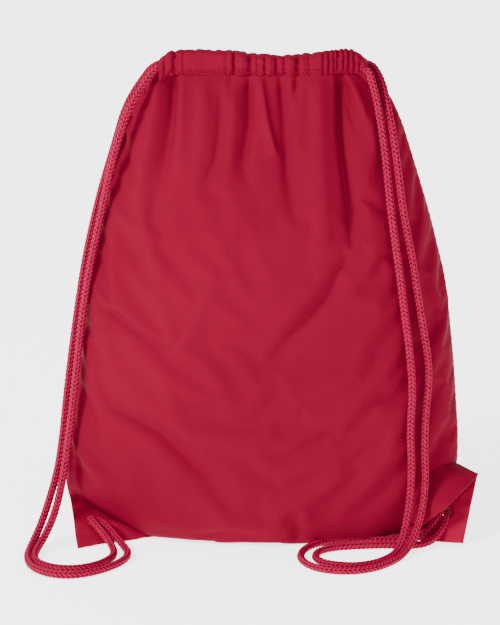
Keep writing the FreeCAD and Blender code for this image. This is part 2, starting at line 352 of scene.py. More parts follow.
def thread_material():
    """Sewing thread: a twisted, slightly shiny yarn."""
    made = Nodes("crimson_thread")
    twist = made.add("ShaderNodeTexWave", {"Vector": made.place, "Scale": 900.0, "Distortion": 1.0},
                     bands_direction="DIAGONAL").outputs[1]
    colour = made.tinge((0.13, 0.0002, 0.011, 1), twist, 0.5, (0.20, 0.0008, 0.021, 1))
    colour = made.tinge(colour, made.noise(120.0), 0.3, (0.12, 0.0002, 0.008, 1))
    return made.finish(Base_Color=colour, Roughness=0.5, Normal=made.bump(twist, 0.3, 0.0001),
                       Specular_IOR_Level=0.06, Specular_Tint=(1, 0.4, 0.45, 1))


def tape_material():
    """Narrow woven binding tape: ribs across it and a fine warp along it."""
    made = Nodes("crimson_tape")
    weave = made.math("MULTIPLY", made.wave("Z", 0.0012), made.wave("X", 0.0008))
    fuzz = made.noise(900.0)
    colour = made.mix(fuzz, (0.085, 0.0, 0.007, 1), (0.12, 0.0, 0.011, 1))
    bump = made.bump(made.math("ADD", weave, fuzz), 0.3, 0.0002)
    return made.finish(Base_Color=colour, Roughness=0.7, Normal=bump, Specular_IOR_Level=0.02)


# ---- cords ----
BRAID_COLUMNS = 6         # columns of slanting yarns round a cord, every second one leaning back
LEAF_STEP = 0.0037        # from one yarn to the next along a column
LEAF_SLANT = 1.0          # how many such steps a yarn climbs while it crosses its column
LEAF_FILL = 0.95          # share of its step that a yarn's crown takes
BRAID_STEP = 0.00055
BRAID_SIDES = 42
BRAID_DEPTH = 0.0012
BRAID_PROUD = 0.0003      # how far the yarns' crowns stand outside the cord's nominal radius
TIP_LENGTH = 0.0015       # how far from a cord's cut end its rounding reaches
CORD_FLOOR = 0.0001


def spline_path(name, points_mm):
    """Points along the NURBS spline of a route."""
    curve = bpy.data.curves.new(name, "CURVE")
    curve.dimensions = "3D"
    curve.resolution_u = 24
    spline = curve.splines.new("NURBS")
    spline.points.add(len(points_mm) - 1)
    for point, (x, y, z) in zip(spline.points, points_mm):
        point.co = (x * MM, y * MM, z * MM, 1)
    spline.order_u = 3
    spline.use_endpoint_u = True
    holder = bpy.data.objects.new(name + "_line", curve)
    line = bpy.data.meshes.new_from_object(holder)
    path = mesh_points(line)
    bpy.data.objects.remove(holder)
    bpy.data.curves.remove(curve)
    bpy.data.meshes.remove(line)
    return path


def even_steps(path, step):
    """The same line with its points a step apart, and each point's distance along it."""
    moved_on = np.linalg.norm(np.diff(path, axis=0), axis=1) > 1e-9
    path = path[np.concatenate([[True], moved_on])]
    along = run_lengths(path)
    wanted = np.linspace(0, along[-1], max(3, int(along[-1] / step) + 1))
    return points_at(path, along, wanted), wanted


def frames_along(path):
    """Two unit vectors across the path at each point, turned as little as possible."""
    tangents = unit(np.gradient(path, axis=0))
    sides = [unit(np.cross(tangents[0], (0.3, 0.2, 0.9)))]
    for tangent in tangents[1:]:
        sides.append(unit(sides[-1] - tangent * np.dot(sides[-1], tangent)))
    return np.array(sides), np.cross(tangents, sides)


def braid_height(angle, along):
    """Height of the braid's surface, 0 to 1: columns of yarns that lean alternately, as chevrons."""
    column = angle * BRAID_COLUMNS / (2 * math.pi)
    share = column - np.floor(column)
    lean = np.where(np.floor(column) % 2 == 0, share, 1 - share)
    phase = along / LEAF_STEP - LEAF_SLANT * lean
    across = np.abs(phase - np.floor(phase) - 0.5) * 2
    crown = np.sqrt(np.clip(1 - (across / LEAF_FILL) ** 2, 0, 1))
    ends = np.sqrt(np.clip(1 - np.abs(share - 0.5) ** 4 * 14, 0, 1))
    return crown * ends


def braided_cord(name, path, material, diameter=CORD_DIAMETER):
    """A cord along a path with its braid as real relief, closed at both ends."""
    points, along = even_steps(path, BRAID_STEP)
    side, up = frames_along(points)
    angle = np.linspace(0, 2 * math.pi, BRAID_SIDES, endpoint=False)[None, :]
    height = braid_height(angle, along[:, None])
    radius = diameter / 2 + BRAID_PROUD - BRAID_DEPTH * (1 - height)
    from_end = np.minimum(along, along[-1] - along)
    radius = radius * np.sqrt(np.clip(from_end / TIP_LENGTH, 0.02, 1))[:, None]
    ring = np.cos(angle)[..., None] * side[:, None] + np.sin(angle)[..., None] * up[:, None]
    vertices = (points[:, None] + ring * radius[..., None]).reshape(-1, 3)
    vertices[:, 2] = np.maximum(vertices[:, 2], CORD_FLOOR)
    faces = [face[::-1] for face in grid_faces(len(points), BRAID_SIDES, around=True)]
    ids = list(range(len(vertices)))
    faces.append(ids[:BRAID_SIDES])
    faces.append(ids[-BRAID_SIDES:][::-1])
    made = link_mesh(name, vertices, faces, material)
    # The yarn height also drives the braid's painted shade and painted highlight in its material.
    layer = made.data.attributes.new("yarn", "FLOAT", "POINT")
    layer.data.foreach_set("value", height.astype(np.float32).ravel())
    return made


def add_straps(material):
    for node, route in ROUTES.items():
        path = spline_path(node, route)
        strap = braided_cord(node + "_braid", path, material)
        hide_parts(node)
        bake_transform(strap)


UPPER_DROP = 0.0070       # from a casing's top edge down to the upper cord
LOWER_DROP = 0.0132
HELD_Y = 0.0092           # from the middle plane to a cord inside a casing
HELD_TOP = 0.409          # the runs hang level under the lowest part of the front casing's top


def held_line(side, top_line, drop, x_low, x_high):
    """A cord's line inside a casing, a fixed drop under the casing's top edge."""
    x = np.concatenate([np.linspace(x_low, 0, 13), np.linspace(0, x_high, 13)[1:]])
    top = top_edge(top_line, x, 7, highest=HELD_TOP)
    return np.stack([x, np.full(x.shape, side * HELD_Y), top - drop], 1)


def add_held_cords(material):
    """The stretches of both cords that stay inside the casings, and where they change casing."""
    for cord, drop, tip, outwards in (("left", UPPER_DROP, -1, 1), ("right", LOWER_DROP, 0, -1)):
        ends = []
        for word, side, top_line in (("front", -1, FRONT_TOP), ("back", 1, BACK_TOP)):
            node = "%s_cord_%s_run" % (cord, word)
            low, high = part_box(node)
            line = held_line(side, top_line, drop, low.x, high.x)
            ends.append(line[tip])
            if word == "front":
                run = braided_cord(node + "_braid", line, material)
                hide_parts(node)
                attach(run, cord + "_cord")
                continue
            for half, sign in (("left", -1), ("right", 1)):
                kept = line[:, 0] * sign >= 0
                run = braided_cord("%s_braid_%s" % (node, half), line[kept], material)
                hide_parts(node)
                ride_back_half(run)
        start, end = ends
        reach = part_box(cord + "_cord_turn")[outwards > 0].x
        angle = np.linspace(0, math.pi, 24)
        line = start + (end - start) * ((1 - np.cos(angle)) / 2)[:, None]
        line[:, 0] = start[0] + (reach - outwards * CORD_DIAMETER / 2 - start[0]) * np.sin(angle)
        turn = braided_cord(cord + "_turn_braid", line, material)
        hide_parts(cord + "_cord_turn")
        ride_back_half(turn)


# ---- the filled bag ----
# Corner seams, where a tab takes over from the body: side end and base end.
LEFT_SEAM = (Vector((-0.169, -0.008, 0.030)), Vector((-0.0985, -0.0225, 0.001)))
RIGHT_SEAM = (Vector((0.163, -0.015, 0.046)), Vector((0.118, -0.026, 0.0008)))
CORNER_ROUND = 0.042      # how far from a corner seam the filling starts to thin out
BASE_ROWS = 8
FLOOR_GAP = 0.0006
LEFT_SPREAD = 0.062       # how much further the lower left side spreads, towards its tab
DEEPEST_VALLEY = -0.011
HIGHEST_RIDGE = 0.007

# Folds of the front, in millimetres: corners of the fold's line as (x, z), how far it stands out
# (a valley is negative), its half width at the top and at the bottom, how softly it starts and
# ends, as shares of its length, and its lean: above 0 its right side is the gentle one.
FRONT_FOLDS = [
    ([(-76, 399), (-79, 360), (-87, 320), (-100, 270)], -8.0, 3.6, 13, 0.0, 0.6, -0.5),
    ([(-70, 399), (-72, 350), (-78, 300)], 2.6, 4, 9, 0.0, 0.6, 0.4),
    ([(-87, 399), (-96, 350), (-107, 300), (-118, 262)], 3.6, 5, 11, 0.0, 0.6, 0.0),
    ([(-52, 396), (-53, 345), (-60, 306)], 2.6, 13, 8, 0.1, 0.4, 0.0),
    ([(-38, 392), (-40, 355), (-43, 330), (-60, 300)], -2.0, 4, 6, 0.3, 0.3, 0.5),
    ([(-28, 399), (-33, 385)], -3.5, 1.8, 3, 0.0, 0.7, 0.0),
    ([(-15, 399), (-15, 358), (-21, 328), (-12, 304)], -6.5, 4.0, 8, 0.0, 0.35, -0.3),
    ([(-26, 385), (-30, 340), (-34, 300)], 2.2, 5, 9, 0.2, 0.5, 0.0),
    ([(-7, 396), (-1, 362), (7, 333)], 4.5, 5, 4, 0.1, 0.15, -0.6),
    ([(9, 399), (12, 366), (15, 320), (24, 275)], -5.0, 4.5, 11, 0.0, 0.5, 0.5),
    ([(18, 399), (18, 378)], 3.0, 6, 7, 0.0, 0.5, 0.0),
    ([(23.5, 399), (22, 374)], -5.5, 2.4, 4, 0.0, 0.6, -0.3),
    ([(41, 399), (42, 330), (44, 285), (47, 250)], 4.5, 12, 13, 0.0, 0.35, -0.3),
    ([(56, 399), (58.5, 345), (66, 290), (68, 256)], -8.5, 3.4, 9, 0.0, 0.25, 0.7),
    ([(68, 260), (46, 224), (10, 180), (-2, 158)], -4.0, 8, 9, 0.15, 0.45, 0.5),
    ([(47, 240), (24, 216), (-2, 188)], 2.8, 8, 10, 0.3, 0.5, -0.4),
    ([(61, 399), (75, 372), (85, 345), (92, 310)], 5.0, 4, 9, 0.0, 0.5, 0.3),
    ([(58, 396), (65, 372), (74, 346)], -4.5, 2.4, 6, 0.0, 0.5, 0.2),
    ([(72, 306), (92, 290), (110, 284)], -2.2, 5, 8, 0.4, 0.4, 0.0),
    ([(-142, 214), (-126, 200), (-98, 182), (-76, 170)], -2.4, 6, 7, 0.3, 0.3, 0.4),
    ([(-76, 168), (-58, 205), (-40, 246)], 2.6, 6, 10, 0.15, 0.5, -0.5),
    ([(-128, 236), (-124, 205), (-100, 190), (-78, 176)], 2.0, 6, 8, 0.4, 0.4, 0.0),
    ([(-147, 222), (-131, 205), (-132, 184), (-156, 164)], 2.4, 4.5, 6, 0.3, 0.4, 0.3),
    ([(-145, 122), (-116, 116), (-88, 102), (-60, 76), (-40, 68)], -3.0, 6, 10, 0.4, 0.4, 0.5),
    ([(-132, 112), (-96, 94), (-64, 62)], 2.2, 9, 10, 0.4, 0.4, 0.0),
    ([(-164, 84), (-140, 60), (-122, 50)], 3.4, 5, 9, 0.2, 0.5, 0.3),
    ([(-165, 66), (-140, 44)], -2.4, 5, 7, 0.2, 0.5, 0.0),
    ([(-95, 60), (-60, 44), (-30, 40)], 1.6, 12, 14, 0.4, 0.5, 0.0),
    ([(78, 140), (98, 130), (120, 126)], -2.8, 9, 11, 0.4, 0.4, 0.0),
    ([(20, 112), (-20, 96), (-60, 102)], 1.6, 20, 20, 0.4, 0.4, 0.0),
    ([(96, 175), (60, 150), (20, 140)], 1.8, 14, 18, 0.4, 0.4, 0.0),
    ([(128, 250), (146, 190), (150, 150)], 2.4, 6, 8, 0.3, 0.4, 0.0),
    ([(121, 240), (137, 200), (143, 160)], -2.6, 6, 8, 0.3, 0.4, 0.0),
    ([(150, 106), (140, 74), (118, 44)], -2.5, 7, 9, 0.3, 0.4, 0.0),
    ([(24, 2), (25, 20), (20, 44)], -4.5, 6, 13, 0.0, 0.7, 0.0),
]
BACK_FOLDS = [
    ([(-78, 399), (-84, 350), (-96, 300)], -7.0, 3, 9, 0.0, 0.5, 0.3),
    ([(-60, 399), (-62, 360), (-66, 330)], -4.5, 2.4, 7, 0.0, 0.5, 0.3),
    ([(-44, 399), (-47, 340), (-56, 280), (-60, 240)], -7.5, 3, 10, 0.0, 0.45, 0.3),
    ([(-30, 396), (-30, 350), (-38, 300)], 4.5, 7, 10, 0.0, 0.4, 0.3),
    ([(-17, 399), (-18, 350), (-14, 310)], -6.0, 3, 8, 0.0, 0.5, 0.3),
    ([(0, 399), (-2, 360), (-6, 330)], 4.0, 6, 9, 0.0, 0.5, 0.3),
    ([(11, 399), (14, 345), (24, 290), (26, 250)], -8.0, 3, 10, 0.0, 0.4, 0.3),
    ([(30, 399), (33, 350), (38, 300)], 4.0, 7, 9, 0.0, 0.5, 0.3),
    ([(42, 399), (46, 360), (52, 330)], -5.5, 2.6, 7, 0.0, 0.5, 0.3),
    ([(63, 399), (70, 350), (86, 300), (92, 260)], -7.5, 3, 9, 0.0, 0.4, 0.3),
    ([(78, 396), (90, 350), (100, 315)], 4.0, 4, 8, 0.0, 0.5, 0.3),
    ([(-110, 230), (-60, 190), (-20, 196)], -2.6, 7, 9, 0.4, 0.4, 0.3),
    ([(20, 205), (70, 170), (122, 190)], 2.6, 8, 9, 0.4, 0.4, 0.3),
    ([(-150, 90), (-100, 70), (-60, 40)], 3.0, 7, 9, 0.3, 0.4, 0.3),
    ([(150, 100), (110, 66), (70, 44)], 3.0, 7, 9, 0.3, 0.4, 0.3),
    ([(-40, 120), (20, 95), (60, 110)], -2.4, 10, 12, 0.4, 0.4, 0.3),
]


def fold_relief(folds, x, z):
    """How far a list of folds moves the cloth outwards at x and z, all in millimetres."""
    relief = np.zeros(x.shape)
    for corners, height, wide_start, wide_end, soft_start, soft_end, lean in folds:
        corners = np.array(corners, float)
        steps = np.linalg.norm(np.diff(corners, axis=0), axis=1)
        total = steps.sum()
        best = np.full(x.shape, 1e9)
        share = np.zeros(x.shape)
        to_right = np.zeros(x.shape)
        done = 0.0
        for start, run, step in zip(corners, np.diff(corners, axis=0), steps):
            along = ((x - start[0]) * run[0] + (z - start[1]) * run[1]) / step ** 2
            near = np.clip(along, 0, 1)
            away = np.hypot(x - start[0] - near * run[0], z - start[1] - near * run[1])
            closer = away < best
            best = np.where(closer, away, best)
            cross = run[0] * (z - start[1]) - run[1] * (x - start[0])
            to_right = np.where(closer, np.sign(cross), to_right)
            share = np.where(closer, (done + near * step) / total, share)
            done += step
        wide = wide_start + (wide_end - wide_start) * share
        wide = wide * (1 + lean * 0.7 * to_right)
        taper = np.ones(x.shape)
        if soft_start:
            taper *= smooth_step(0, soft_start, share)
        if soft_end:
            taper *= 1 - smooth_step(1 - soft_end, 1, share)
        relief += height * taper / (1 + (best / wide) ** 2) ** 1.5
    return relief


def section_at(height_share):
    rows = np.array(SECTIONS)
    return [np.interp(height_share, rows[:, 0], rows[:, column]) for column in range(1, 5)]


def smooth_section_at(height_share):
    """The sections' numbers at a height, averaged over a short stretch so that no corner shows."""
    spread = np.linspace(-0.035, 0.035, 9)
    rows = [section_at(np.clip(height_share + d, 0, 1)) for d in spread]
    eased = np.mean(rows, axis=0)
    exact = section_at(height_share)
    ends = smooth_step(0.0, 0.06, height_share) * (1 - smooth_step(0.95, 1.0, height_share))
    return [e * (1 - ends) + s * ends for e, s in zip(exact, eased)]


def half_section(columns, half_width, half_depth, squareness):
    """Points of half a superellipse from its left to its right end, evenly spaced; y is negative."""
    fine = np.linspace(math.pi, 2 * math.pi, 721)
    power = 2.0 / squareness
    x = half_width * np.sign(np.cos(fine)) * np.abs(np.cos(fine)) ** power
    y = -half_depth * np.abs(np.sin(fine)) ** power
    along = np.concatenate([[0], np.cumsum(np.hypot(np.diff(x), np.diff(y)))])
    wanted = np.linspace(0, along[-1], columns)
    return np.interp(wanted, along, x), np.interp(wanted, along, y)


def seam_distance(seam, x, z):
    """Distance inside a corner seam, its inward normal, and where along the seam it is."""
    side, base = seam
    run = Vector((base.x - side.x, base.z - side.z))
    length = run.length
    inward = Vector((-run.y, run.x)) / length
    if inward.y < 0:
        inward = -inward
    distance = (x - side.x) * inward.x + (z - side.z) * inward.y
    share = np.clip(((x - side.x) * run.x + (z - side.z) * run.y) / length ** 2, 0, 1)
    return distance, inward, share


def sheet_grid(side, folds):
    """Grid of points over the front (side -1) or the back (side 1) of the filled bag."""
    shares = np.linspace(0, 1, SHEET_ROWS - BASE_ROWS) ** 0.97
    shares = np.concatenate([np.zeros(BASE_ROWS), shares])
    points = np.zeros((SHEET_ROWS, SHEET_COLUMNS, 3))
    for row, share in enumerate(shares):
        middle, wide, deep, squareness = smooth_section_at(share)
        x, y = half_section(SHEET_COLUMNS, wide * HALF_WIDTH, deep * HALF_DEPTH, squareness)
        if row < BASE_ROWS:
            y = y * (row / BASE_ROWS)
        z = share * BODY_HEIGHT
        spread = LEFT_SPREAD * smooth_step(0.0, 0.028, z) * (1 - smooth_step(0.05, 0.13, z))
        x = np.where(x < 0, x * (1 + spread), x)
        points[row, :, 0] = x + middle
        points[row, :, 1] = -side * y
        points[row, :, 2] = max(share * BODY_HEIGHT, FLOOR_GAP)
    outward = np.gradient(points, axis=1)
    normal = np.stack([outward[..., 1], -outward[..., 0], np.zeros(outward.shape[:2])], -1)
    normal *= -side
    normal /= np.maximum(np.linalg.norm(normal, axis=-1), 1e-9)[..., None]
    edge = np.sin(np.linspace(0, math.pi, SHEET_COLUMNS))[None, :]
    height = points[..., 2]
    relief = fold_relief(folds, points[..., 0] / MM, height / MM) * MM
    relief = np.clip(relief, DEEPEST_VALLEY, HIGHEST_RIDGE)
    relief *= smooth_step(0, 0.25, edge) * smooth_step(-0.001, 0.012, height)
    relief *= 1 - 0.62 * smooth_step(BODY_HEIGHT - 0.012, BODY_HEIGHT, height)
    return points + normal * relief[..., None]


def close_corners(points):
    """Brings the cloth down onto both corner seams; also says which points lay outside them."""
    outside = np.zeros(points.shape[:2], bool)
    for side, base in (LEFT_SEAM, RIGHT_SEAM):
        distance, inward, share = seam_distance((side, base), points[..., 0], points[..., 2])
        near = (points[..., 0] - (side.x + base.x) / 2) * math.copysign(1, side.x) > -0.09
        pinch = np.clip(distance / CORNER_ROUND, 0, 1)
        pinch = np.where(near, pinch, 1)
        factor = np.sqrt(np.clip(1 - (1 - pinch) ** 2, 0, 1))
        seam_y = side.y + (base.y - side.y) * share
        points[..., 1] = seam_y + (points[..., 1] - seam_y) * factor
        push = np.where(near & (distance < 0), -distance, 0)
        points[..., 0] += inward.x * push
        points[..., 2] += inward.y * push
        outside |= near & (distance < 0)
    points[..., 2] = np.maximum(points[..., 2], FLOOR_GAP)
    return outside


CLOTH_THICKNESS = 0.0006


def cloth_sheet(name, points, material, flip, outside=None):
    """A thin sheet over a grid of points, without the cells that lie wholly outside."""
    faces = grid_faces(*points.shape[:2])
    if outside is not None:
        gone = cells(outside).all(1)
        faces = [face for face, hidden in zip(faces, gone) if not hidden]
    if flip:
        faces = [face[::-1] for face in faces]
    made = link_mesh(name, points.reshape(-1, 3), faces, material)
    edit_mesh(made, merge_points)
    give(made.modifiers.new("thickness", "SOLIDIFY"), thickness=CLOTH_THICKNESS, offset=-1)
    apply_modifiers(made)
    return made


SIM_SKIP = 2              # the simulated cloth uses every second point of the fine grid
SIM_FRAMES = 24
SIM_CAP = 0.012           # how far the simulation may move a point
SIM_SHAKE = 0.00002       # points that lie exactly on each other stop the solver, so all are shaken
HOLD = 0.12               # how firmly the middle of the cloth is held in its place
HOLD_SIDES = 0.75
CLOTH_SETTINGS = {
    "quality": 6, "mass": 0.15, "tension_stiffness": 18, "compression_stiffness": 18,
    "shear_stiffness": 6, "bending_stiffness": 6, "air_damping": 2, "shrink_min": -0.018,
    "use_pressure": True, "uniform_pressure_force": 2.4, "vertex_group_mass": "held",
}


def relax_cloth(sheets, outs):
    """Lets the two joined sheets settle under a light inner pressure, a little larger than drawn,
    so that natural buckles form. Returns how far each point of the fine grids moves."""
    coarse = [grid[::SIM_SKIP, ::SIM_SKIP] for grid in sheets]
    outs = [out[::SIM_SKIP, ::SIM_SKIP] for out in outs]
    rows, columns = coarse[0].shape[:2]
    front, back = np.arange(2 * rows * columns).reshape(2, rows, columns)
    back[0, :] = front[0, :]
    back[:, 0] = front[:, 0]
    back[:, -1] = front[:, -1]
    faces = cells(front)[~cells(outs[0]).all(1)].tolist()
    faces += cells(back)[~cells(outs[1]).all(1)][:, ::-1].tolist()
    vertices = np.concatenate([grid.reshape(-1, 3) for grid in coarse])
    vertices = vertices + np.random.default_rng(3).normal(0, SIM_SHAKE, vertices.shape)
    cloth = link_mesh("relaxing_cloth", vertices, faces, bpy.data.materials[0])
    hold = np.full((rows, columns), HOLD)
    hold[-3:] = 1.0
    hold[:BASE_ROWS // SIM_SKIP + 1] = 1.0
    hold[:, :2] = HOLD_SIDES
    hold[:, -2:] = HOLD_SIDES
    group = cloth.vertex_groups.new(name="held")
    for ids, out in zip((front, back), outs):
        for vertex, weight in zip(ids.ravel(), np.where(out, 1.0, hold).ravel()):
            group.add([int(vertex)], float(weight), "REPLACE")
    modifier = cloth.modifiers.new("cloth", "CLOTH")
    give(modifier.settings, **CLOTH_SETTINGS)
    modifier.settings.effector_weights.gravity = 0.15
    modifier.collision_settings.use_collision = False
    give(modifier.point_cache, frame_start=1, frame_end=SIM_FRAMES)
    scene = bpy.context.scene
    for frame_number in range(1, SIM_FRAMES + 1):
        scene.frame_set(frame_number)
    result = cloth.evaluated_get(bpy.context.evaluated_depsgraph_get()).data
    moved = mesh_points(result) - vertices
    size = np.linalg.norm(moved, axis=1)
    moved *= np.minimum(1, SIM_CAP / np.maximum(size, 1e-9))[:, None]
    bpy.data.objects.remove(cloth)
    scene.frame_set(1)
    return [finer(moved[ids], grid.shape) for ids, grid in zip((front, back), sheets)]


def finer(values, shape):
    """A coarse grid of vectors spread over a finer grid, smoothly."""
    made = np.zeros(shape)
    rows = np.linspace(0, values.shape[0] - 1, shape[0])
    columns = np.linspace(0, values.shape[1] - 1, shape[1])
    for axis in range(3):
        half = np.stack([np.interp(columns, range(values.shape[1]), line) for line in values[..., axis]])
        made[..., axis] = np.stack([np.interp(rows, range(values.shape[0]), line) for line in half.T]).T
    for _ in range(2):
        middle = made[1:-1, 1:-1] * 0.5
        middle += 0.125 * (made[:-2, 1:-1] + made[2:, 1:-1] + made[1:-1, :-2] + made[1:-1, 2:])
        made[1:-1, 1:-1] = middle
    return made


SHEET_COLUMNS = 221
SHEET_ROWS = 251


def add_body(material):
    """The front and the two halves of the back. Returns both grids of points and the pieces."""
    sheets = [sheet_grid(-1, FRONT_FOLDS), sheet_grid(1, BACK_FOLDS)]
    outs = [close_corners(points) for points in sheets]
    for points, move in zip(sheets, relax_cloth(sheets, outs)):
        points += move
    front = cloth_sheet("front_cloth", sheets[0], material, flip=False, outside=outs[0])
    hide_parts("front_panel")
    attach(front, "pouch")
    cloths = [front]
    middle = SHEET_COLUMNS // 2
    for name, sign, part in (("back_cloth_left", -1, slice(0, middle + 1)),
                             ("back_cloth_right", 1, slice(middle, None))):
        half = cloth_sheet(name, sheets[1][:, part], material, flip=True, outside=outs[1][:, part])
        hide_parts("back_panel")
        share_normals(half, sheets[1], middle)
        ride_back_half(half)
        cloths.append(half)
    return sheets[0], sheets[1], cloths


def share_normals(half, grid, column):
    """Gives both halves of the back the same normals where they meet, so that no line shows."""
    across = np.gradient(grid, axis=1)[:, column]
    upward = np.gradient(grid, axis=0)[:, column]
    outward = np.cross(across, upward)
    outward *= np.sign(outward[:, 1])[:, None]
    outward /= np.maximum(np.linalg.norm(outward, axis=1), 1e-12)[:, None]
    places = mesh_points(half.data)
    normals = np.zeros(places.shape)
    for seam_point, direction in zip(grid[:, column], outward):
        away = np.linalg.norm(places - seam_point, axis=1)
        normals[away < 0.0007] = -direction
        normals[away < 0.00004] = direction
    half.data.normals_split_custom_set_from_vertices(normals.tolist())


def ride_back_half(piece):
    """Bakes a piece of the back's placement into its points."""
    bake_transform(piece)


# ---- casings ----
# Pleats of a casing, in millimetres along x: middle, depth and half width.
FRONT_PLEATS = [
    (-84, 1.8, 1.8), (-76, 3.8, 1.9), (-69, 0.9, 1.4), (-52, 0.5, 5.0), (-34, 0.8, 1.6),
    (-28, 3.2, 1.2), (-22, -0.6, 3.0), (-15, 3.8, 2.0), (-9, 1.0, 1.3), (-3, 1.8, 1.1),
    (1, -0.8, 2.5), (6.3, 2.6, 1.4), (13, 1.4, 1.3), (18, -0.7, 2.5), (23.5, 3.9, 1.6),
    (28, -0.6, 2.0), (33, 0.9, 1.2), (44.5, 1.8, 1.2), (49, 2.4, 1.2), (53, 2.0, 1.0),
    (56.3, 3.8, 1.5), (60.8, 2.6, 1.1), (65, 3.2, 1.3), (69.5, 2.6, 1.2), (74.5, 2.0, 1.3),
]
BACK_PLEATS = [
    (-82, 2.0, 1.6), (-76, 2.6, 1.4), (-68, 3.4, 1.8), (-60, 2.2, 1.3), (-51, 1.2, 1.6),
    (-44, 3.6, 1.8), (-36, 1.4, 1.4), (-29, 2.4, 1.3), (-17, 3.2, 1.7), (-9, 1.4, 1.5),
    (2, 2.0, 1.4), (11, 3.6, 1.8), (19, 1.3, 1.6), (27, 2.2, 1.3), (35, 2.6, 1.4),
    (43, 3.2, 1.8), (51, 1.8, 1.4), (58, 2.4, 1.3), (65, 3.4, 1.7), (72, 2.4, 1.4),
]
# Top edge of a casing, in millimetres: x and height.
FRONT_TOP = [(-89, 403), (-84, 411), (-78, 414.5), (-55, 414), (-30, 413), (-14, 410.5), (0, 409),
             (12, 409), (25, 409.5), (36, 410), (42, 412.5), (52, 414.5), (62, 415.5), (69, 414.5),
             (75, 410), (81, 402)]
BACK_TOP = [(-89, 402), (-80, 409), (-60, 410.5), (-30, 409.5), (-10, 407), (10, 405.5), (30, 407),
            (50, 409.5), (66, 410.5), (75, 407), (81, 400)]
HEM_COLUMNS = 300
HEM_FACE_ROWS = 16
HEM_ROLL_ROWS = 8
HEM_ROLL = 4.2 * MM       # radius of the folded top edge
HEM_FACE = 15.4 * MM      # from the middle plane to the outer face
HEM_INNER = 5.2 * MM      # from the middle plane to the inner face
CORD_COVER = 13.4 * MM    # the outer face stays outside the cords it covers
STITCH_ROWS = (1.8 * MM, 4.0 * MM)       # heights of the two rows above the casing's seam


def pleat_depth(pleats, x_mm):
    return sum(deep / (1 + ((x_mm - place) / wide) ** 2) ** 1.6 for place, deep, wide in pleats) * MM


def hem_surface(side, pleats, top_line, body_row, x):
    """Rows of points over a casing: up the outer face, over the top and down the inner face."""
    x_mm = x / MM
    ruffle = np.array([noise.noise((value / 5.0, side * 7.0, 0.5)) for value in x_mm]) * 0.7 * MM
    depth = pleat_depth(pleats, x_mm)
    top = top_edge(top_line, x, 9) - (0.55 if side < 0 else 0.30) * depth + ruffle
    order = np.argsort(body_row[:, 0])
    base_y = np.abs(np.interp(x, body_row[order, 0], body_row[order, 1])) + 0.0003
    ends = smooth_step(-78, -90, x_mm) + smooth_step(72, 82, x_mm)
    bottom = BODY_HEIGHT - 0.0015 - 0.009 * ends
    rows = []
    for w in np.linspace(0, 1, HEM_FACE_ROWS):
        z = bottom + (top - HEM_ROLL - bottom) * w
        face = base_y + (HEM_FACE - base_y) * min(1.0, w * 3.2) + math.sin(math.pi * w) * 0.0009
        wander = np.array([noise.noise((value / 9.0 + 3 * w, w * 2.2, side * 3.0)) for value in x_mm])
        y = face - depth * (0.85 + 0.25 * math.sin(2.6 * w)) + wander * 0.0005
        if 0.12 < w < 0.97:
            y = np.maximum(y, CORD_COVER)
        rows.append((x + 0.0006 * w * wander, y, z))
    outer_y = rows[-1][1]
    middle, reach = (outer_y + HEM_INNER) / 2, (outer_y - HEM_INNER) / 2
    for step in range(1, HEM_ROLL_ROWS):
        angle = math.pi * step / HEM_ROLL_ROWS
        z = top - HEM_ROLL + HEM_ROLL * math.sin(angle)
        rows.append((x, middle + reach * math.cos(angle), z))
    for w in np.linspace(0, 1, HEM_FACE_ROWS):
        z = (top - HEM_ROLL) + (bottom + 0.002 - top + HEM_ROLL) * w
        y = HEM_INNER + 0.0022 * smooth_step(0.75, 1.0, w) - 0.2 * depth * math.sin(math.pi * w)
        rows.append((x, np.maximum(y, 0.0035), z))
    return np.stack([np.stack((px, side * py, pz), -1) for px, py, pz in rows])


STITCH_LENGTH = 0.0024
STITCH_GAP = 0.0014
STITCH_RADIUS = 0.00032
STITCH_SIDES = 6
STITCH_PROFILE = ((0.0, 0.3), (0.18, 0.9), (0.5, 1.1), (0.82, 0.9), (1.0, 0.3))


def stitches_along(name, lines, material):
    """Short raised stitches along lines of (point, outward normal) pairs."""
    vertices, faces = [], []
    turn = np.linspace(0, 2 * math.pi, STITCH_SIDES, endpoint=False)[:, None]
    for line in lines:
        points = np.array([point for point, _ in line])
        normals = np.array([normal for _, normal in line])
        along = run_lengths(points)
        start = STITCH_GAP
        while start + STITCH_LENGTH < along[-1]:
            first = len(vertices)
            for share, swell in STITCH_PROFILE:
                reached = start + STITCH_LENGTH * share
                centre = points_at(points, along, reached)
                normal = points_at(normals, along, reached)
                forward = unit(points_at(points, along, reached + 0.0005) - centre)
                radius = STITCH_RADIUS * swell
                lift = STITCH_RADIUS * (0.1 + 0.6 * math.sin(math.pi * share))
                across = np.cross(forward, normal) * np.cos(turn) * radius
                vertices += list(centre + across + normal * (np.sin(turn) * radius + lift))
            faces += grid_faces(len(STITCH_PROFILE), STITCH_SIDES, around=True, first=first)
            ids = list(range(first, len(vertices)))
            faces += [ids[:STITCH_SIDES][::-1], ids[-STITCH_SIDES:]]
            start += STITCH_LENGTH + STITCH_GAP
    made = link_mesh(name, vertices, faces, material)
    edit_mesh(made, turn_faces_out)
    return made


